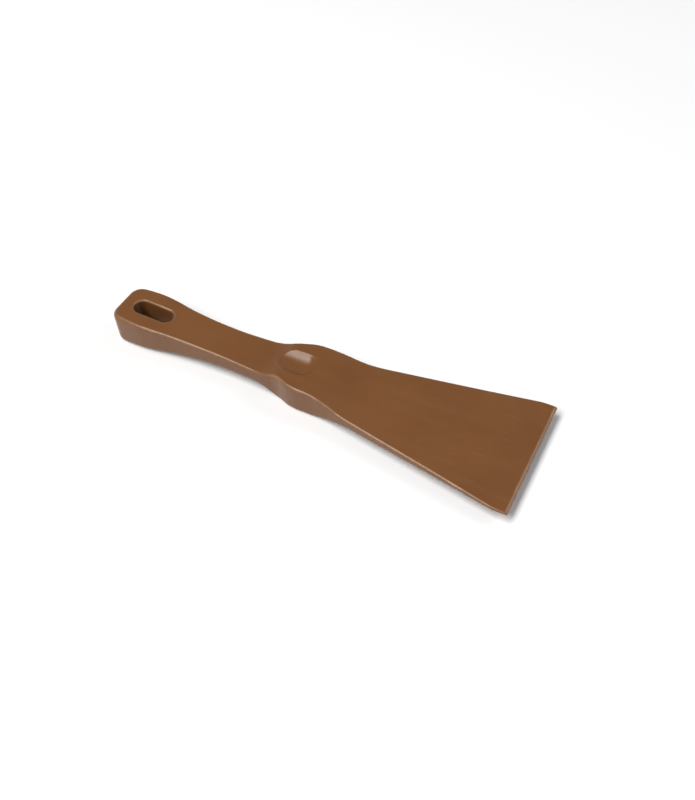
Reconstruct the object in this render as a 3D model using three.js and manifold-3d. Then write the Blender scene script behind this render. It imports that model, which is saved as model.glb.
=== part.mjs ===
import * as THREE from 'three';
import { mergeVertices } from 'three/addons/utils/BufferGeometryUtils.js';
import Module from 'manifold-3d';

// A plastic hive tool: one moulding with a flared scraper blade, a raised shoulder with a
// thumb scoop, and a handle with a hanging slot. Millimetres. The moulding is drawn in its own
// frame: X runs from the butt to the blade's edge, Y across, and Z = 0 is the blade's flat top.
// At the end it is tipped onto its two feet, the butt and the shoulder, and centred.

// Overall size. The butt's end is at X = BUTT_START, and the blade's edge at X = LENGTH.
const LENGTH = 250;
const BUTT_START = -0.6;
const BLADE_WIDTH = 75;

// Edges: the moulding's sides lean in towards the underside, and every edge is rounded, most at
// the butt and least along the thin blade.
const EDGE_RADIUS = 1.5;
const BUTT_EDGE_RADIUS = 2.9;
const BUTT_EDGE_END = 20;
const THIN_EDGE_SHARE = 0.4;
const DRAFT = Math.tan(THREE.MathUtils.degToRad(1.5));
const BUTT_HALF_WIDTH = 14.2;
const BUTT_CORNER_RADIUS = 7.5;
const BLADE_CORNER_RADIUS = 0.8;

// The blade's working edge: a bevel across the top, and the thickness behind it.
const BEVEL_LENGTH = 1.4;
const BEVEL_SLOPE = 0.5;
const EDGE_THICKNESS = 1.8;

// The two feet lie on one line, which slopes against the blade's flat top.
const FOOT_SLOPE = 0.0363;
const FOOT_DROP = 16.6;

// The straight flare of the blade, and where its flat top begins.
const BLADE_FLAT_START = 158;
const BLADE_ROOT = 152;
const BLADE_ROOT_HALF_WIDTH = 20.9;
const FLARE_END = LENGTH - 10;
const FLARE_SLOPE = 0.1845;

// The hanging slot through the butt.
const SLOT_START = 8.2;
const SLOT_END = 33.6;
const SLOT_WIDTH = 9.6;
const SLOT_RIM_RADIUS = 1.2;
const SLOT_CUT_CLEARANCE = 2;

// The thumb scoop in the raised shoulder: the lower part of an egg, steep towards the blade and
// long towards the handle, where it opens on the ramp.
const SCOOP_CENTRE = new THREE.Vector3(118.5, 0, 7.55);
const SCOOP_HALF_WIDTH = 9.1;
const SCOOP_DEPTH = 5.5;
const SCOOP_BLADE_REACH = 8.2;
const SCOOP_HANDLE_REACH = 36;

// How finely the outline and its rounded edges are divided.
const STATION_STEPS = [
  [BUTT_START + BUTT_CORNER_RADIUS, 30, 4],
  [30, 90, 5],
  [90, BLADE_FLAT_START, 1.7],
  [BLADE_FLAT_START, FLARE_END, 16],
  [FLARE_END, LENGTH - BLADE_CORNER_RADIUS, 1.5],
];
const QUARTER = Math.PI / 2;
const EDGE_STEP = QUARTER / 4;
const CORNER_STEP = QUARTER / 8;
const SLOT_STEP = QUARTER / 6;
const SLOPE_STEP = 0.01;

const wasm = await Module();
wasm.setup();

// A smooth curve value(x) through points [x, value], or [x, value, slope] where the slope is set.
function profile(points) {
  const secant = (i) => (points[i + 1][1] - points[i][1]) / (points[i + 1][0] - points[i][0]);
  const last = points.length - 1;
  const slopes = points.map(([, , slope], i) => {
    if (slope !== undefined) return slope;
    const before = secant(i - 1);
    const after = secant(i);
    return before * after > 0 ? (2 * before * after) / (before + after) : 0;
  });
  return (x) => {
    let i = 0;
    while (i < last - 1 && x > points[i + 1][0]) i += 1;
    const span = points[i + 1][0] - points[i][0];
    const t = (x - points[i][0]) / span;
    const rise = (points[i + 1][1] - points[i][1]);
    const bend = t * (1 - t) * span;
    return points[i][1] + rise * t * t * (3 - 2 * t)
      + bend * ((1 - t) * slopes[i] - t * slopes[i + 1]);
  };
}

const footLine = (x) => FOOT_SLOPE * x - FOOT_DROP;

// Half the width of the moulding, from the end of the butt's corner to the blade's edge.
const halfWidth = profile([
  [BUTT_START + BUTT_CORNER_RADIUS, BUTT_HALF_WIDTH, 0.08],
  [18, 14.6, 0],
  [27, 14.1],
  [36, 13.05],
  [44, 12.35],
  [58, 11.72],
  [70, 11.6, 0],
  [88, 12.35],
  [98, 13.1],
  [106, 13.6],
  [110, 14.4],
  [114, 15.9],
  [118, 17.2],
  [123, 17.9],
  [131, 18.05],
  [141, 18.9],
  [BLADE_ROOT, BLADE_ROOT_HALF_WIDTH, FLARE_SLOPE],
  [FLARE_END, BLADE_ROOT_HALF_WIDTH + FLARE_SLOPE * (FLARE_END - BLADE_ROOT), FLARE_SLOPE],
  [LENGTH - 5, BLADE_WIDTH / 2, 0],
  [LENGTH, BLADE_WIDTH / 2, 0],
]);

// Height of the top: a straight handle, the ramp up to the shoulder, and down to the blade.
const crest = profile([
  [BUTT_START, 3.1, -0.01],
  [22, 2.8],
  [30, 2.35],
  [44, 1.3],
  [60, 0.45],
  [80, 0.05, 0],
  [93.5, 0.13],
  [98, 0.7],
  [103, 2.35],
  [107.5, 4.3],
  [111, 4.95],
  [117, 5, 0],
  [127, 5, 0],
  [134, 4.45],
  [143, 2.35],
  [151, 0.45],
  [BLADE_FLAT_START, 0, 0],
  [LENGTH, 0, 0],
]);

// Height of the underside: the butt's foot, the arch of the handle, the shoulder's flat foot,
// and the tapering blade.
const belly = profile([
  [BUTT_START, footLine(BUTT_START), FOOT_SLOPE],
  [8, footLine(8), FOOT_SLOPE],
  [13, -15.5],
  [18, -14.95, 0.1],
  [27, -14],
  [36, -12.8],
  [52, -10.95],
  [70, -9.5],
  [84, -8.8],
  [94, -8.4, 0],
  [99, -9.1],
  [104, -11],
  [109, footLine(109), FOOT_SLOPE],
  [131, footLine(131), FOOT_SLOPE],
  [138, -10.1],
  [146, -7.9],
  [155, -5.9, 0.0433],
  [LENGTH, -EDGE_THICKNESS, 0.0433],
]);

// Radius of the rounded edges where the moulding is thick enough for it.
const rounding = profile([
  [BUTT_START, BUTT_EDGE_RADIUS, -0.05],
  [BUTT_EDGE_END, EDGE_RADIUS, 0],
  [LENGTH, EDGE_RADIUS, 0],
]);

const top = (x) => crest(x) - BEVEL_SLOPE * Math.max(0, x - (LENGTH - BEVEL_LENGTH));
const edgeRadius = (x) => Math.min(rounding(x), THIN_EDGE_SHARE * (top(x) - belly(x)));

// Numbers from start to end, both included, about step apart.
function spread(start, end, step) {
  const count = Math.max(1, Math.round(Math.abs(end - start) / step));
  return Array.from({ length: count + 1 }, (_, i) => start + ((end - start) * i) / count);
}

// A quarter or half of a circle as outline points that carry their outward direction.
function arc(centreX, centreY, radius, angles) {
  return angles.map((angle) => {
    const out = new THREE.Vector2(Math.cos(angle), Math.sin(angle));
    return { x: centreX + radius * out.x, y: centreY + radius * out.y, out };
  });
}

// One side of the moulding's outline, from the butt to the blade's edge.
function mouldingSide() {
  const corner = BUTT_CORNER_RADIUS;
  const tip = BLADE_CORNER_RADIUS;
  const stations = STATION_STEPS.flatMap(([start, end, step]) => spread(start, end, step).slice(1));
  const side = stations.slice(0, -1).map((x) => {
    const slope = (halfWidth(x + SLOPE_STEP) - halfWidth(x - SLOPE_STEP)) / (2 * SLOPE_STEP);
    return { x, y: halfWidth(x), out: new THREE.Vector2(-slope, 1).normalize() };
  });
  const buttTurns = spread(2 * QUARTER, QUARTER, CORNER_STEP);
  const bladeTurns = spread(QUARTER, 0, EDGE_STEP);
  return [
    ...arc(BUTT_START + corner, BUTT_HALF_WIDTH - corner, corner, buttTurns),
    ...side,
    ...arc(LENGTH - tip, BLADE_WIDTH / 2 - tip, tip, bladeTurns),
  ];
}

// A closed skin over an outline that is the same on both sides of Y = 0. Each level turns an
// outline point into a point of the skin, from the top ring to the bottom ring.
function skin(side, levels) {
  const mirror = ({ x, y, out }) => ({ x, y: -y, out: new THREE.Vector2(out.x, -out.y) });
  const mirrored = side.map(mirror);
  const ring = [...side, ...mirrored.reverse()];
  const count = ring.length;
  const bottom = (levels.length - 1) * count;
  const positions = levels.flatMap((level) => ring.flatMap(level));
  const faces = [];
  for (let k = 0; k < bottom; k += count) {
    for (let i = 0; i < count; i += 1) {
      const j = (i + 1) % count;
      faces.push(k + i, k + j, k + count + j, k + i, k + count + j, k + count + i);
    }
  }
  for (let i = 0; i < side.length - 1; i += 1) {
    const across = count - 1 - i;
    const [a, b, c, d] = [bottom + i, bottom + i + 1, bottom + across - 1, bottom + across];
    faces.push(i, across, across - 1, i, across - 1, i + 1);
    faces.push(a, c, d, a, b, c);
  }
  const geometry = new THREE.BufferGeometry();
  geometry.setAttribute('position', new THREE.Float32BufferAttribute(positions, 3));
  geometry.setIndex(faces);
  return geometry;
}

// The levels of the moulding: round the top edge, down the leaning side, round the lower edge.
function mouldingLevels() {
  const turns = spread(0, QUARTER, EDGE_STEP);
  const inset = (point, distance, height) => {
    const x = point.x - point.out.x * distance;
    return [x, point.y - point.out.y * distance, height(x)];
  };
  const upper = turns.map((turn) => (point) => {
    const radius = edgeRadius(point.x);
    const drop = radius * (1 - Math.cos(turn));
    return inset(point, radius * (1 - Math.sin(turn)), (x) => top(x) - drop);
  });
  const lower = turns.toReversed().map((turn) => (point) => {
    const radius = edgeRadius(point.x);
    const lean = DRAFT * (top(point.x) - belly(point.x));
    const lift = radius * (1 - Math.cos(turn));
    return inset(point, lean + radius * (1 - Math.sin(turn)), (x) => belly(x) + lift);
  });
  return [...upper, ...lower];
}

// What the hanging slot takes away: a long round-ended hole that opens out at both rims.
function slotCut() {
  const radius = SLOT_WIDTH / 2;
  const side = [
    ...arc(SLOT_START + radius, 0, radius, spread(2 * QUARTER - SLOT_STEP / 2, QUARTER, SLOT_STEP)),
    ...arc(SLOT_END - radius, 0, radius, spread(QUARTER, SLOT_STEP / 2, SLOT_STEP)),
  ];
  const widen = (point, distance, z) => [
    point.x + point.out.x * distance,
    point.y + point.out.y * distance,
    z,
  ];
  const turns = spread(SLOT_STEP, QUARTER, SLOT_STEP);
  const flare = (turn) => SLOT_RIM_RADIUS * (1 - Math.sin(turn));
  const depth = (turn) => SLOT_RIM_RADIUS * (1 - Math.cos(turn));
  const widest = flare(turns[0]);
  const upper = turns.map((turn) => (point) => (
    widen(point, flare(turn), top(point.x) - depth(turn))));
  const lower = turns.toReversed().map((turn) => (point) => (
    widen(point, flare(turn), belly(point.x) + depth(turn))));
  return skin(side, [
    (point) => widen(point, widest, top(point.x) + SLOT_CUT_CLEARANCE),
    ...upper,
    ...lower,
    (point) => widen(point, widest, belly(point.x) - SLOT_CUT_CLEARANCE),
  ]);
}

// What the thumb scoop takes away.
function scoopCut() {
  const geometry = new THREE.SphereGeometry(1, 48, 24);
  const position = geometry.attributes.position;
  for (let i = 0; i < position.count; i += 1) {
    const x = position.getX(i);
    position.setX(i, x * (x > 0 ? SCOOP_BLADE_REACH : SCOOP_HANDLE_REACH));
  }
  geometry.scale(1, SCOOP_HALF_WIDTH, SCOOP_DEPTH);
  geometry.translate(...SCOOP_CENTRE);
  return geometry;
}

// A closed three.js geometry as a solid that can be cut.
function solid(geometry) {
  const shared = geometry.clone();
  shared.deleteAttribute('normal');
  shared.deleteAttribute('uv');
  const merged = mergeVertices(shared);
  return new wasm.Manifold(new wasm.Mesh({
    numProp: 3,
    vertProperties: new Float32Array(merged.attributes.position.array),
    triVerts: new Uint32Array(merged.index.array),
  }));
}

// A solid as a three.js geometry again.
function geometryOf(body) {
  const mesh = body.getMesh();
  const geometry = new THREE.BufferGeometry();
  geometry.setAttribute('position', new THREE.BufferAttribute(mesh.vertProperties, 3));
  geometry.setIndex(new THREE.BufferAttribute(mesh.triVerts, 1));
  geometry.computeVertexNormals();
  return geometry;
}

function bladeAndHandle() {
  const plastic = new THREE.MeshStandardMaterial({
    color: '#7d5637',
    roughness: 0.4,
    metalness: 0,
  });
  const body = solid(skin(mouldingSide(), mouldingLevels()))
    .subtract(solid(slotCut()))
    .subtract(solid(scoopCut()));
  const mesh = new THREE.Mesh(geometryOf(body), plastic);
  mesh.name = 'blade_and_handle';
  return mesh;
}

// Tips the moulding onto its feet and puts the origin under the middle of its box.
const moulding = bladeAndHandle();
moulding.rotation.y = Math.atan(FOOT_SLOPE);
moulding.updateMatrixWorld();
const box = new THREE.Box3().setFromObject(moulding, true);
moulding.position.set(-(box.min.x + box.max.x) / 2, 0, -box.min.z);

const hiveTool = new THREE.Group();
hiveTool.add(moulding);

export default hiveTool;
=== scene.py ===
"""Looks of a one-piece plastic hive tool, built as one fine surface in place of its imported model.

The moulding is worked out in its own frame, in millimetres: X from the butt to the blade's edge,
Y across, Z = 0 at the blade's flat top. Then it is tipped onto its two feet and centred, as the
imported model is, and turned into metres.
"""
import math

import bmesh
import bpy
import numpy as np
from mathutils import Matrix, Vector


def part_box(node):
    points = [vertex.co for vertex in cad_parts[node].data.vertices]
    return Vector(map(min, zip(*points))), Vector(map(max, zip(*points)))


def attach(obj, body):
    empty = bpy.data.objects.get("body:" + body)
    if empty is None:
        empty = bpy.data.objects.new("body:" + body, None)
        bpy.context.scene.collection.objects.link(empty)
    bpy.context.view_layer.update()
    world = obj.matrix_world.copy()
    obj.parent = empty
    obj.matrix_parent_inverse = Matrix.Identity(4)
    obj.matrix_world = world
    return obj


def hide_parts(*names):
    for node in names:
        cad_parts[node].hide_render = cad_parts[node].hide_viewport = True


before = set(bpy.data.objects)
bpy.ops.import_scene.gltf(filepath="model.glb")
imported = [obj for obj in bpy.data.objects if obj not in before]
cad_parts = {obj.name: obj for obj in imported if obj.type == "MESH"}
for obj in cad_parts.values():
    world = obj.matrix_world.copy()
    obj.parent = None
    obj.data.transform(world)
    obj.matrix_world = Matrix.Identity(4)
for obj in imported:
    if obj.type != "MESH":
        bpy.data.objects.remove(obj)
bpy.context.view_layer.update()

CAD_NODE = "blade_and_handle"
MM = 0.001
QUARTER = math.pi / 2

# Overall size. The tool runs from BUTT_START to LENGTH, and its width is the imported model's.
LOW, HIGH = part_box(CAD_NODE)
LENGTH = 250.0
BUTT_START = -0.6
BLADE_WIDTH = (HIGH.y - LOW.y) / MM

# The two feet lie on one line, which slopes against the blade's flat top.
FOOT_SLOPE = 0.0363
FOOT_DROP = 16.6

# Edges: rounded everywhere, most at the butt, and by a share of the thickness on the thin blade.
EDGE_RADIUS = 1.5
BUTT_EDGE_RADIUS = 2.9
BUTT_EDGE_END = 20.0
THIN_EDGE_SHARE = 0.4

# The sides lean in by the draft towards the underside. The corners are rounded in plan.
DRAFT = math.tan(math.radians(1.5))
BUTT_HALF_WIDTH = 14.2
BUTT_CORNER_RADIUS = 7.5
BLADE_CORNER_RADIUS = 0.8

# The blade, which flares in straight lines and ends in a short bevel.
BEVEL_LENGTH = 1.4
BEVEL_SLOPE = 0.5
# The bevel's crease is paler over this width, partly as wear and partly as a painted highlight.
BEVEL_RUB_AND_HIGHLIGHT_WIDTH = 0.6
EDGE_THICKNESS = 1.8
BLADE_ROOT = 152.0
BLADE_ROOT_HALF_WIDTH = 20.9
FLARE_END = LENGTH - 10
FLARE_SLOPE = 0.1845

# The hanging slot.
SLOT_START = 8.2
SLOT_END = 33.6
SLOT_WIDTH = 9.6
SLOT_RIM_RADIUS = 1.2

# The thumb scoop: the lower part of an egg, steep towards the blade and long towards the handle,
# where it opens on the ramp. Its rim is rounded over the blend, and gets less of the edges' paler
# colour, which is partly wear and partly a painted highlight.
SCOOP_CENTRE = (118.5, 7.55)
SCOOP_HALF_WIDTH = 9.1
SCOOP_DEPTH = 5.5
SCOOP_BLADE_REACH = 8.2
SCOOP_HANDLE_REACH = 36.0
SCOOP_RIM_BLEND = 0.5
SCOOP_RIM_RUB_AND_HIGHLIGHT = 0.15

# How finely the surface is divided. A row of the top or the underside has COLUMNS points up to
# LAST_COLUMN of its width, and one more where it meets the side.
COLUMNS = 44
LAST_COLUMN = 0.985
ROUND_STEPS = 8
WALL_STEPS = 5
CORNER_STEPS = 14
BLADE_CORNER_STEPS = 8
SLOT_STEP = 0.8
SLOPE_STEP = 0.01
WELD_DISTANCE = 1e-7

# The stretches along the tool after the slot, each as (start, end, step between the rows).
SLOT_RIM_START = SLOT_START - SLOT_RIM_RADIUS
SLOT_RIM_END = SLOT_END + SLOT_RIM_RADIUS
NECK_END = 88
RAMP_START = 98
SHOULDER_END = 130
SLOPE_END = 160
BEVEL_ZONE = LENGTH - 2.4
STRETCHES = [
    (SLOT_RIM_END, NECK_END, 1.6),
    (NECK_END, RAMP_START, 0.7),
    (RAMP_START, SHOULDER_END, 0.35),
    (SHOULDER_END, SLOPE_END, 0.9),
    (SLOPE_END, FLARE_END, 3.0),
    (FLARE_END, BEVEL_ZONE, 0.8),
    (BEVEL_ZONE, LENGTH - BLADE_CORNER_RADIUS, 0.2),
]

# The plastic's colours, in linear light. GLOSS_TINT is the colour of its reflections.
DARK_CLOUD = (0.146, 0.0565, 0.0175, 1)
PALE_CLOUD = (0.161, 0.0645, 0.0205, 1)
FLOW_MARK = (0.174, 0.075, 0.026, 1)
SPECKLE = (0.125, 0.045, 0.013, 1)
# Next, the paler colour of worn edges and scratches, on the edges also a painted highlight.
WORN_AND_HIGHLIGHT = (0.36, 0.212, 0.118, 1)
GLOSS_TINT = (1.0, 0.91, 0.83, 1)

# The sizes of the plastic's patterns, in metres. Where there are three, they are along X, Y and Z.
CLOUD_SIZE = 0.03
FLOW_SIZE = (0.09, 0.008, 0.008)
SPECKLE_SIZE = 0.0009
SHEEN_SIZE = 0.012
PEEL_SIZE = 0.0022
GRAIN_SIZE = 0.00035
# The patches of the paler edges, which are partly wear and partly a painted highlight.
RUB_AND_HIGHLIGHT_PATCH_SIZE = 0.009
SCRATCH_SIZE = (0.025, 0.0007, 0.0007)

# How strongly the patterns and the wear show in the colour. The paler edges are partly wear
# and partly a painted highlight.
FLOW_SHARE = 0.35
SPECKLE_SHARE = 0.12
RUB_AND_HIGHLIGHT_SHARE = 0.6
SCRATCH_SHARE = 0.12
SCRATCH_FADE = 0.06

# Roughness: between the two limits, more in the scratches and less on the rubbed edges.
ROUGHNESS = (0.31, 0.36)
SCRATCH_DULLING = 0.05
RUB_POLISH = 0.08

# Relief: the depth of the bumps in metres, and the grain's and scratches' depth beside the peel's.
BUMP_DEPTH = 0.00006
BUMP_STRENGTH = 0.25
GRAIN_DEPTH = 0.3
SCRATCH_DEPTH = 0.4

# The studio: the floor just below the tool's feet, and the lights' distance, in metres.
FLOOR_REACH = 12.0
FLOOR_DROP = 0.0001
FLOOR_COLOUR = (0.84, 0.84, 0.84, 1)
LIGHT_DISTANCE = 2.2


def profile(points):
    """A smooth curve value(x) through (x, value), or (x, value, slope) where the slope is set.

    Elsewhere the slope follows from the neighbours, so that the curve doesn't overshoot a point.
    """
    xs = np.array([point[0] for point in points], float)
    values = np.array([point[1] for point in points], float)
    secants = np.diff(values) / np.diff(xs)
    slopes = []
    for i, point in enumerate(points):
        if len(point) == 3:
            slopes.append(point[2])
            continue
        before, after = secants[i - 1], secants[i]
        same_way = before * after > 0
        slopes.append(2 * before * after / (before + after) if same_way else 0.0)
    slopes = np.array(slopes)

    def value(x):
        i = np.clip(np.searchsorted(xs, x, side="left") - 1, 0, len(xs) - 2)
        span = xs[i + 1] - xs[i]
        t = (x - xs[i]) / span
        rise = values[i + 1] - values[i]
        bend = t * (1 - t) * span * ((1 - t) * slopes[i] - t * slopes[i + 1])
        return values[i] + rise * t * t * (3 - 2 * t) + bend

    return value


def foot_line(x):
    """Height of the line that both feet lie on."""
    return FOOT_SLOPE * x - FOOT_DROP


# Half the tool's width, the heights of its top and underside, and the radius of its edges.
half_width = profile([
    (BUTT_START + BUTT_CORNER_RADIUS, BUTT_HALF_WIDTH, 0.08),
    (18, 14.6, 0),
    (27, 14.1),
    (36, 13.05),
    (44, 12.35),
    (58, 11.72),
    (70, 11.6, 0),
    (88, 12.35),
    (98, 13.1),
    (106, 13.6),
    (110, 14.4),
    (114, 15.9),
    (118, 17.2),
    (123, 17.9),
    (131, 18.05),
    (141, 18.9),
    (BLADE_ROOT, BLADE_ROOT_HALF_WIDTH, FLARE_SLOPE),
    (FLARE_END, BLADE_ROOT_HALF_WIDTH + FLARE_SLOPE * (FLARE_END - BLADE_ROOT), FLARE_SLOPE),
    (LENGTH - 5, BLADE_WIDTH / 2, 0),
    (LENGTH, BLADE_WIDTH / 2, 0),
])

crest = profile([
    (BUTT_START, 3.1, -0.01),
    (22, 2.8),
    (30, 2.35),
    (44, 1.3),
    (60, 0.45),
    (80, 0.05, 0),
    (93.5, 0.13),
    (98, 0.7),
    (103, 2.35),
    (107.5, 4.3),
    (111, 4.95),
    (117, 5, 0),
    (127, 5, 0),
    (134, 4.45),
    (143, 2.35),
    (151, 0.45),
    (158, 0, 0),
    (LENGTH, 0, 0),
])

belly = profile([
    (BUTT_START, foot_line(BUTT_START), FOOT_SLOPE),
    (8, foot_line(8), FOOT_SLOPE),
    (13, -15.5),
    (18, -14.95, 0.1),
    (27, -14.0),
    (36, -12.8),
    (52, -10.95),
    (70, -9.5),
    (84, -8.8),
    (94, -8.4, 0),
    (99, -9.1),
    (104, -11.0),
    (109, foot_line(109), FOOT_SLOPE),
    (131, foot_line(131), FOOT_SLOPE),
    (138, -10.1),
    (146, -7.9),
    (155, -5.9, 0.0433),
    (LENGTH, -EDGE_THICKNESS, 0.0433),
])

rounding = profile([
    (BUTT_START, BUTT_EDGE_RADIUS, -0.05),
    (BUTT_EDGE_END, EDGE_RADIUS, 0),
    (LENGTH, EDGE_RADIUS, 0),
])


def bevelled_crest(x):
    """Height of the top with the bevel at the blade's edge."""
    return crest(x) - BEVEL_SLOPE * np.maximum(0, x - (LENGTH - BEVEL_LENGTH))


def edge_radius(x):
    """Radius of the rounded edges, less where the tool is thin."""
    return np.minimum(rounding(x), THIN_EDGE_SHARE * (bevelled_crest(x) - belly(x)))


def soft_min(a, b, blend):
    """The lower of two heights, with the crease between them rounded over the blend distance."""
    near = np.maximum(blend - np.abs(a - b), 0)
    return np.minimum(a, b) - near**2 / (4 * blend)


def scoop_floor(x, y):
    """Height of the egg's lower half, and the height of its centre outside it."""
    along = x - SCOOP_CENTRE[0]
    reach = np.where(along > 0, SCOOP_BLADE_REACH, SCOOP_HANDLE_REACH)
    share = 1 - (along / reach) ** 2 - (y / SCOOP_HALF_WIDTH) ** 2
    return SCOOP_CENTRE[1] - SCOOP_DEPTH * np.sqrt(np.maximum(share, 0))


def top_height(x, y):
    """The top of the moulding, with the thumb scoop melted into it."""
    return soft_min(bevelled_crest(x), scoop_floor(x, y), SCOOP_RIM_BLEND)


def top_rim(x, y):
    """1 on the bevel's crease, less on the rim of the thumb scoop, and 0 away from them."""
    # The rim value makes these places paler, partly as wear and partly as a painted highlight.
    gap = np.abs(bevelled_crest(x) - scoop_floor(x, y))
    crease = np.abs(x - (LENGTH - BEVEL_LENGTH))
    scoop = SCOOP_RIM_RUB_AND_HIGHLIGHT * (1 - gap / SCOOP_RIM_BLEND)
    return np.maximum(np.maximum(scoop, 1 - crease / BEVEL_RUB_AND_HIGHLIGHT_WIDTH), 0)


def underside_height(x, y):
    """The underside of the moulding, which is level across."""
    return belly(x)


def underside_rim(x, y):
    """The underside's face has no rim value, so none of the edges' paler wear and painted
    highlight.
    """
    return 0 * x


def spread(start, end, step):
    """Numbers from start to end, both included, about step apart."""
    count = max(1, round(abs(end - start) / step))
    return np.linspace(start, end, count + 1)


def outline_point(x, y, out):
    """A point of the outline in plan, with its outward direction."""
    return {"x": x, "y": y, "out": out}


def arc(centre_x, centre_y, radius, angles):
    """Outline points on a circle, each with its outward direction."""
    points = []
    for angle in angles:
        out = (math.cos(angle), math.sin(angle))
        points.append(outline_point(centre_x + radius * out[0], centre_y + radius * out[1], out))
    return points


def slot_half():
    """The half of the hanging slot's wall with Y above 0, from the butt's end of it."""
    radius = SLOT_WIDTH / 2
    step = QUARTER / CORNER_STEPS
    left, right = SLOT_START + radius, SLOT_END - radius
    middle = spread(left, right, SLOT_STEP)[1:-1]
    straight = [outline_point(x, radius, (0.0, 1.0)) for x in middle]
    return [
        *arc(left, 0, radius, spread(2 * QUARTER, QUARTER, step)),
        *straight,
        *arc(right, 0, radius, spread(QUARTER, 0, step)),
    ]


def side_half(slot_rows):
    """The moulding's side with Y above 0, and the index where the slot's rows start."""
    corner, tip = BUTT_CORNER_RADIUS, BLADE_CORNER_RADIUS
    beside_slot = np.linspace(SLOT_RIM_START, SLOT_RIM_END, slot_rows)
    after_slot = [spread(start, end, step)[1:] for start, end, step in STRETCHES]
    stations = np.concatenate([beside_slot, *after_slot])[:-1]
    side = []
    for x in stations:
        slope = (half_width(x + SLOPE_STEP) - half_width(x - SLOPE_STEP)) / (2 * SLOPE_STEP)
        size = math.hypot(slope, 1)
        side.append(outline_point(x, float(half_width(x)), (-slope / size, 1 / size)))
    butt_turns = spread(2 * QUARTER, QUARTER, QUARTER / CORNER_STEPS)
    blade_turns = spread(QUARTER, 0, QUARTER / BLADE_CORNER_STEPS)
    butt = arc(BUTT_START + corner, BUTT_HALF_WIDTH - corner, corner, butt_turns)
    blade = arc(LENGTH - tip, BLADE_WIDTH / 2 - tip, tip, blade_turns)
    return [*butt, *side, *blade], len(butt)


class Surface:
    """Gathers rows of points, each (x, y, z, rim), and joins neighbouring rows with faces."""

    def __init__(self):
        self.points = []
        self.faces = []

    def row(self, points):
        """Adds the points and gives their numbers."""
        first = len(self.points)
        self.points.extend(points)
        return list(range(first, len(self.points)))

    def join(self, row_a, row_b):
        """Fills the strip between two rows of the same length with four-sided faces."""
        self.faces.extend(zip(row_a, row_a[1:], row_b[1:], row_b))

    def join_all(self, rows):
        """Joins each row to the next one."""
        for row_a, row_b in zip(rows, rows[1:]):
            self.join(row_a, row_b)


def inside(point, distance):
    """The plan position that far inside the outline, or outside where distance is negative."""
    return point["x"] - point["out"][0] * distance, point["y"] - point["out"][1] * distance


def edge_levels(point, hole=False):
    """Points from the top face, round the top edge, down the wall and round the lower edge.

    The rim value is 1 in the middle of each rounded edge and 0 where the edge begins and ends.
    The slot's walls are upright, and its rounded edges widen it at the top and the underside.
    """
    way = -1 if hole else 1
    tall = float(bevelled_crest(point["x"]) - belly(point["x"]))
    radius = SLOT_RIM_RADIUS if hole else float(edge_radius(point["x"]))
    lean = 0.0 if hole else DRAFT * tall
    upper = []
    lower = []
    for turn in np.linspace(0, QUARTER, ROUND_STEPS + 1):
        inset, drop = radius * (1 - math.sin(turn)), radius * (1 - math.cos(turn))
        rim = math.sin(2 * turn)
        x, y = inside(point, way * inset)
        upper.append((x, y, float(bevelled_crest(x)) - drop, rim))
        x, y = inside(point, way * (lean + inset))
        lower.append((x, y, float(belly(x)) + drop, rim))
    shares = np.linspace(0, 1, WALL_STEPS + 1)[1:-1]
    wall = [tuple(u + (v - u) * share for u, v in zip(upper[-1], lower[-1])) for share in shares]
    return upper + wall + lower[::-1]


def face_rows(surface, outer_rows, inner_rows, level, height, rim):
    """Rows of the top or the underside, from the slot's rim or the middle line to the side.

    The level is the edge level that the face meets: 0 on the top and -1 on the underside.
    """
    columns = np.append(np.linspace(0, LAST_COLUMN, COLUMNS), 1.0)
    rows = []
    for outer_row, inner_row in zip(outer_rows, inner_rows):
        outer = surface.points[outer_row[level]]
        inner = surface.points[inner_row[level]] if inner_row else (outer[0], 0.0)
        x = inner[0] + (outer[0] - inner[0]) * columns
        y = inner[1] + (outer[1] - inner[1]) * columns
        rows.append(surface.row(list(zip(x, y, height(x, y), rim(x, y)))))
    return rows


def half_surface():
    """The half of the moulding with Y above 0, open along Y = 0."""
    surface = Surface()
    slot = slot_half()
    side, slot_at = side_half(len(slot))
    shares = np.linspace(0, LAST_COLUMN, COLUMNS)

    def flat_end(point):
        """Outline points across half of a flat end, from the middle line."""
        return [outline_point(point["x"], point["y"] * share, point["out"]) for share in shares]

    ring = flat_end(side[0]) + side + flat_end(side[-1])[::-1]
    walls = [surface.row(edge_levels(point)) for point in ring]
    hole = [surface.row(edge_levels(point, hole=True)) for point in slot]
    surface.join_all(walls)
    surface.join_all(hole)
    outer_rows = walls[COLUMNS:COLUMNS + len(side)]
    inner_rows = [None] * slot_at + hole + [None] * (len(side) - slot_at - len(slot))
    top = face_rows(surface, outer_rows, inner_rows, 0, top_height, top_rim)
    surface.join_all(top)
    bottom = face_rows(surface, outer_rows, inner_rows, -1, underside_height, underside_rim)
    surface.join_all(bottom)
    return surface


def tipped(points):
    """The moulding's points on its feet, centred, in metres."""
    tilt = math.atan(FOOT_SLOPE)
    x = points[:, 0] * math.cos(tilt) + points[:, 2] * math.sin(tilt)
    z = points[:, 2] * math.cos(tilt) - points[:, 0] * math.sin(tilt)
    x = x - (x.min() + x.max()) / 2
    return np.stack([x, points[:, 1], z - z.min()], axis=1) * MM


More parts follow.
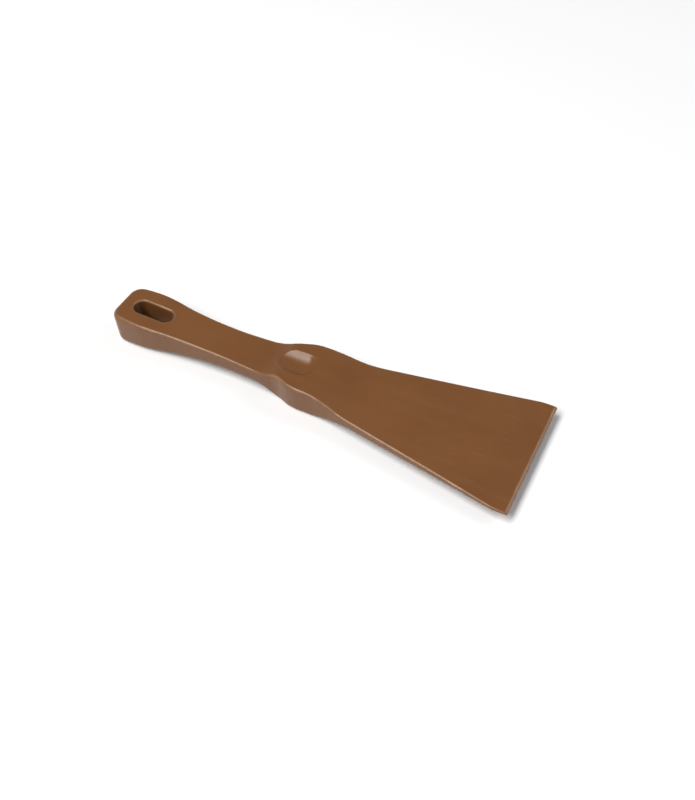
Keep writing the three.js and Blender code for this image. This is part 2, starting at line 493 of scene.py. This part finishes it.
def build_moulding():
    """Mirrors the half surface and welds it into one closed mesh with a rim attribute."""
    surface = half_surface()
    half = np.array(surface.points)
    count = len(half)
    points = np.concatenate([half, half * (1, -1, 1, 1)])
    faces = surface.faces + [tuple(i + count for i in face[::-1]) for face in surface.faces]
    mesh = bpy.data.meshes.new("moulding")
    mesh.from_pydata(tipped(points).tolist(), [], faces)
    mesh.attributes.new("rim", "FLOAT", "POINT").data.foreach_set("value", points[:, 3])
    work = bmesh.new()
    work.from_mesh(mesh)
    bmesh.ops.remove_doubles(work, verts=work.verts, dist=WELD_DISTANCE)
    bmesh.ops.recalc_face_normals(work, faces=work.faces)
    work.to_mesh(mesh)
    work.free()
    mesh.shade_smooth()
    piece = bpy.data.objects.new("moulding", mesh)
    bpy.context.scene.collection.objects.link(piece)
    return piece


def plug(tree, socket, value):
    """Links the socket to another node's output, or sets it to a number, vector or colour."""
    if isinstance(value, bpy.types.NodeSocket):
        tree.links.new(value, socket)
    else:
        socket.default_value = value


def node(tree, kind, **settings):
    """A new shader node of that kind, with its settings."""
    made = tree.nodes.new(kind)
    for name, value in settings.items():
        setattr(made, name, value)
    return made


def feed(tree, made, **inputs):
    """Fills a node's inputs, each by its name with _ for a space, and gives the node back."""
    for name, value in inputs.items():
        plug(tree, made.inputs[name.replace("_", " ")], value)
    return made


def noise(tree, place, size, detail=2.0):
    """Noise between 0 and 1 with features of about that size in metres."""
    made = feed(tree, node(tree, "ShaderNodeTexNoise"), Vector=place, Scale=1 / size, Detail=detail)
    return made.outputs["Fac"]


def stretched(tree, place, lengths, turn=0.0):
    """The place measured in those lengths along X, Y and Z, turned about Z."""
    made = node(tree, "ShaderNodeMapping")
    feed(tree, made, Vector=place, Rotation=(0, 0, turn), Scale=[1 / length for length in lengths])
    return made.outputs["Vector"]


def band(tree, value, start, end, low=0.0, high=1.0):
    """The value's way from start to end, smoothly turned into a number from low to high."""
    made = node(tree, "ShaderNodeMapRange", interpolation_type="SMOOTHSTEP")
    feed(tree, made, Value=value, From_Min=start, From_Max=end, To_Min=low, To_Max=high)
    return made.outputs["Result"]


def combine(tree, operation, a, b):
    """The result of a Math node on two values."""
    made = node(tree, "ShaderNodeMath", operation=operation)
    plug(tree, made.inputs[0], a)
    plug(tree, made.inputs[1], b)
    return made.outputs[0]


def scaled(tree, value, share):
    """The value times a number or another value."""
    return combine(tree, "MULTIPLY", value, share)


def blend_colour(tree, factor, first, second):
    """The first colour where the factor is 0, running to the second where it is 1."""
    made = node(tree, "ShaderNodeMix", data_type="RGBA")
    colours = [socket for socket in made.inputs if socket.type == "RGBA"]
    plug(tree, made.inputs["Factor"], factor)
    plug(tree, colours[0], first)
    plug(tree, colours[1], second)
    return next(socket for socket in made.outputs if socket.type == "RGBA")


def scratches(tree, place, turn, rarity):
    """Fine straight scratches in one direction, fewer where the rarity is higher."""
    lines = noise(tree, stretched(tree, place, SCRATCH_SIZE, turn), size=1.0, detail=1.0)
    return band(tree, lines, start=rarity, end=rarity + SCRATCH_FADE)


def wear_and_highlight_masks(tree, place):
    """Edges paler in patches, as wear and a painted highlight, and scratches on the blade."""
    rim = node(tree, "ShaderNodeAttribute", attribute_name="rim").outputs["Fac"]
    patches = noise(tree, place, RUB_AND_HIGHLIGHT_PATCH_SIZE, detail=3.0)
    # The edges' paler mask: partly wear, partly a painted highlight on the rounded edges.
    rubbed_and_highlit = scaled(tree, rim, band(tree, patches, start=0.45, end=0.75, low=0.3))
    along = feed(tree, node(tree, "ShaderNodeSeparateXYZ"), Vector=place).outputs["X"]
    used = band(tree, along, start=0.02, end=0.12, low=0.1)
    one_way = scratches(tree, place, turn=0.5, rarity=0.69)
    other_way = scratches(tree, place, turn=-0.35, rarity=0.7)
    return rubbed_and_highlit, scaled(tree, combine(tree, "ADD", one_way, other_way), used)


def pigment(tree, place):
    """The plastic's own colour: cloudy, with flow marks along the tool and dark speckle."""
    clouds = noise(tree, place, CLOUD_SIZE, detail=3.0)
    flow = noise(tree, stretched(tree, place, FLOW_SIZE), size=1.0)
    specks = noise(tree, place, SPECKLE_SIZE)
    clouded = blend_colour(tree, band(tree, clouds, start=0.3, end=0.7), DARK_CLOUD, PALE_CLOUD)
    marks = scaled(tree, band(tree, flow, start=0.35, end=0.75), FLOW_SHARE)
    marked = blend_colour(tree, marks, clouded, FLOW_MARK)
    dots = scaled(tree, band(tree, specks, start=0.3, end=0.7), SPECKLE_SHARE)
    return blend_colour(tree, dots, marked, SPECKLE)


def relief(tree, place, scratched):
    """The bumps of the surface: a faint orange peel, fine grain and the scratches cut in it."""
    grain = noise(tree, place, GRAIN_SIZE, detail=1.0)
    peel = noise(tree, place, PEEL_SIZE, detail=1.0)
    bumps = combine(tree, "ADD", scaled(tree, grain, GRAIN_DEPTH), peel)
    height = combine(tree, "SUBTRACT", bumps, scaled(tree, scratched, SCRATCH_DEPTH))
    bump = node(tree, "ShaderNodeBump")
    feed(tree, bump, Height=height, Strength=BUMP_STRENGTH, Distance=BUMP_DEPTH)
    return bump.outputs["Normal"]


def plastic_material():
    """Satin brown moulded plastic; glossier edges, paler as wear and a painted highlight."""
    material = bpy.data.materials.new("moulded_plastic")
    material.use_nodes = True
    tree = material.node_tree
    shader = tree.nodes["Principled BSDF"]
    shader.inputs["Specular IOR Level"].default_value = 0.42
    shader.inputs["Specular Tint"].default_value = GLOSS_TINT
    place = node(tree, "ShaderNodeTexCoord").outputs["Object"]
    rubbed_and_highlit, scratched = wear_and_highlight_masks(tree, place)
    # Paler edges, partly wear and partly a painted highlight, and paler scratches, which are wear.
    paler = scaled(tree, rubbed_and_highlit, RUB_AND_HIGHLIGHT_SHARE)
    worn_and_highlit = combine(tree, "MAXIMUM", paler, scaled(tree, scratched, SCRATCH_SHARE))
    colour = blend_colour(tree, worn_and_highlit, pigment(tree, place), WORN_AND_HIGHLIGHT)

    patches = noise(tree, place, SHEEN_SIZE, detail=4.0)
    satin = band(tree, patches, start=0.3, end=0.7, low=ROUGHNESS[0], high=ROUGHNESS[1])
    dulled = combine(tree, "ADD", satin, scaled(tree, scratched, SCRATCH_DULLING))
    roughness = combine(tree, "SUBTRACT", dulled, scaled(tree, rubbed_and_highlit, RUB_POLISH))
    normal = relief(tree, place, scratched)
    feed(tree, shader, Base_Color=colour, Roughness=roughness, Normal=normal)
    return material


def soft_box(name, direction, length, width, power):
    """A soft light aimed at the origin, its length in the plane of the direction and Y."""
    light = bpy.data.lights.new(name, "AREA")
    light.shape = "RECTANGLE"
    light.size, light.size_y = width, length
    light.energy = power
    towards = Vector(direction).normalized()
    across = Vector((0, 1, 0)).cross(towards).normalized()
    holder = bpy.data.objects.new(name, light)
    holder.location = towards * LIGHT_DISTANCE
    axes = Matrix((across, towards.cross(across), towards)).transposed()
    holder.rotation_euler = axes.to_euler()
    bpy.context.scene.collection.objects.link(holder)


def stage_floor():
    """A plain pale floor without any gloss."""
    reach = FLOOR_REACH
    corners = [(-reach, -reach, 0), (reach, -reach, 0), (reach, reach, 0), (-reach, reach, 0)]
    mesh = bpy.data.meshes.new("floor")
    mesh.from_pydata(corners, [], [(0, 1, 2, 3)])
    floor = bpy.data.objects.new("floor", mesh)
    floor.location.z = -FLOOR_DROP
    material = bpy.data.materials.new("pale_floor")
    material.use_nodes = True
    shader = material.node_tree.nodes["Principled BSDF"]
    shader.inputs["Base Color"].default_value = FLOOR_COLOUR
    shader.inputs["Roughness"].default_value = 1.0
    shader.inputs["Specular IOR Level"].default_value = 0.0
    mesh.materials.append(material)
    bpy.context.scene.collection.objects.link(floor)


def studio_light():
    """A soft world, brightest at the horizon and towards the blade, with two soft boxes."""
    world = bpy.data.worlds.new("studio")
    world.use_nodes = True
    tree = world.node_tree
    direction = node(tree, "ShaderNodeTexCoord").outputs["Generated"]
    axes = feed(tree, node(tree, "ShaderNodeSeparateXYZ"), Vector=direction).outputs
    background = tree.nodes["Background"]
    upward = band(tree, axes["Z"], start=0.0, end=0.8, low=0.56, high=0.18)
    across = band(tree, axes["X"], start=-0.9, end=0.7, low=0.62, high=1.15)
    strength = scaled(tree, upward, across)
    feed(tree, background, Color=(1, 1, 1, 1), Strength=strength)
    bpy.context.scene.world = world
    bpy.context.scene.view_settings.view_transform = "Standard"
    soft_box("key", direction=(-0.31, -0.37, 0.88), length=2.0, width=0.9, power=59.0)
    soft_box("fill", direction=(0.64, 0.5, 0.58), length=1.0, width=1.0, power=12.0)


def camera():
    """The camera, which looks at its aim from that distance, heading, elevation and roll."""
    aim = Vector((0.024226, -0.00692, 0.010))
    distance = 0.489604
    heading = math.radians(119.4793)
    elevation = math.radians(48.4133)
    roll = math.radians(-3.2941)
    level = Vector((math.cos(heading), math.sin(heading), 0))
    forward = level * math.cos(elevation) - Vector((0, 0, math.sin(elevation)))
    turn = forward.to_track_quat("-Z", "Y").to_matrix().to_4x4() @ Matrix.Rotation(roll, 4, "Z")
    lens = bpy.data.cameras.new("camera")
    lens.lens = 41.625
    lens.clip_start = 0.01
    holder = bpy.data.objects.new("camera", lens)
    holder.matrix_world = Matrix.Translation(aim - forward * distance) @ turn
    bpy.context.scene.collection.objects.link(holder)
    bpy.context.scene.camera = holder


moulding = build_moulding()
moulding.data.materials.append(plastic_material())
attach(moulding, "root")
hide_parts(CAD_NODE)
stage_floor()
studio_light()
camera()
